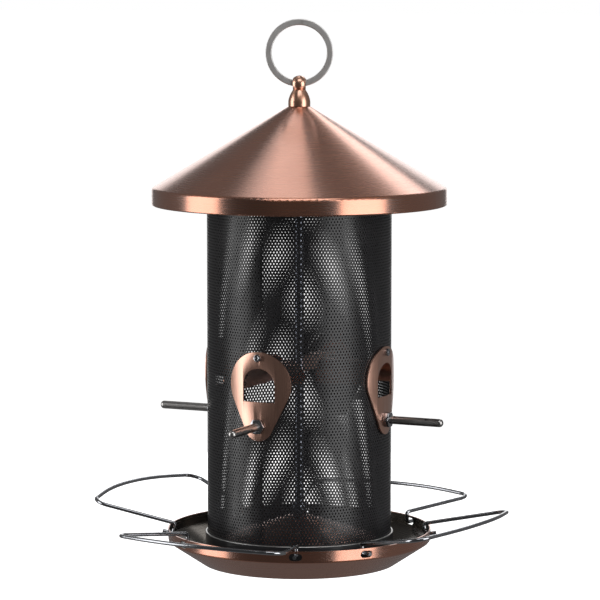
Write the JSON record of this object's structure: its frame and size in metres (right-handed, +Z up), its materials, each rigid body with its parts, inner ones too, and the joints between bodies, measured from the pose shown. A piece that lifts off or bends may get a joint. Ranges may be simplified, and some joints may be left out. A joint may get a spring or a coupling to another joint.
{
  "type": "bird feeder",
  "caption": "Hanging seed feeder: perforated seed tube with feeding ports and perches, dished tray with wire perching loops, conical roof, finial and split ring.",
  "frame": {"origin": "middle of the tray's underside, on the plane that the tray can stand on", "axes": "+Z up along the central rod; the first feeding port faces -Y"},
  "size_m": [0.2694, 0.2735, 0.3526],
  "materials": {
    "copper_plate": "copper-plated sheet steel, satin spun",
    "black_mesh": "black powder coat, semi-gloss",
    "chrome": "nickel-chrome plated wire and rod",
    "zinc_steel": "bright zinc plate"
  },
  "bodies": {
    "feeder": {"tray": "copper_plate", "seed_cone": "copper_plate", "mesh_tube": "black_mesh", "base_collar": "black_mesh", "tube_top_band": "black_mesh", "top_bridge": "black_mesh", "bridge_rivets": "zinc_steel", "center_rod": "zinc_steel", "rod_nuts": "zinc_steel", "cone_nut": "zinc_steel", "tray_washer": "zinc_steel", "perch_nuts": "chrome", "perch_lock_nuts": "zinc_steel", "plate_screws": "chrome", "plate_screw_nuts": "zinc_steel", "port_plate_1": "copper_plate", "port_hood_1": "copper_plate", "perch_1": "chrome", "port_plate_2": "copper_plate", "port_hood_2": "copper_plate", "perch_2": "chrome", "port_plate_3": "copper_plate", "port_hood_3": "copper_plate", "perch_3": "chrome", "port_plate_4": "copper_plate", "port_hood_4": "copper_plate", "perch_4": "chrome"},
    "roof": {"roof": "copper_plate"},
    "finial": {"finial": "copper_plate"},
    "ring": {"hanging_ring": "chrome"},
    "loop_1": {"wire_loop_1": "chrome"},
    "loop_2": {"wire_loop_2": "chrome"},
    "loop_3": {"wire_loop_3": "chrome"},
    "loop_4": {"wire_loop_4": "chrome"}
  },
  "joints": [
    {"name": "roof_lift", "type": "slide", "parent": "feeder", "child": "roof", "axis": [0, 0, 1], "range_m": [0, 0.08]},
    {"name": "finial_turn", "type": "hinge", "parent": "roof", "child": "finial", "pos_m": [0, 0, 0.2967], "axis": [0, 0, 1], "continuous": true},
    {"name": "ring_swing", "type": "hinge", "parent": "finial", "child": "ring", "pos_m": [0, 0, 0.3109], "axis": [0.9063, 0.4226, 0], "range_deg": [-115, 115]},
    {"name": "loop_1_lift", "type": "hinge", "parent": "feeder", "child": "loop_1", "pos_m": [-0.00781, -0.07429, 0.0184], "axis": [-0.9945, 0.1045, 0], "range_deg": [0, 30]},
    {"name": "loop_2_lift", "type": "hinge", "parent": "feeder", "child": "loop_2", "pos_m": [0.07429, -0.00781, 0.0184], "axis": [-0.1045, -0.9945, 0], "range_deg": [0, 30]},
    {"name": "loop_3_lift", "type": "hinge", "parent": "feeder", "child": "loop_3", "pos_m": [0.00781, 0.07429, 0.0184], "axis": [0.9945, -0.1045, 0], "range_deg": [0, 30]},
    {"name": "loop_4_lift", "type": "hinge", "parent": "feeder", "child": "loop_4", "pos_m": [-0.07429, 0.00781, 0.0184], "axis": [0.1045, 0.9945, 0], "range_deg": [0, 30]}
  ]
}
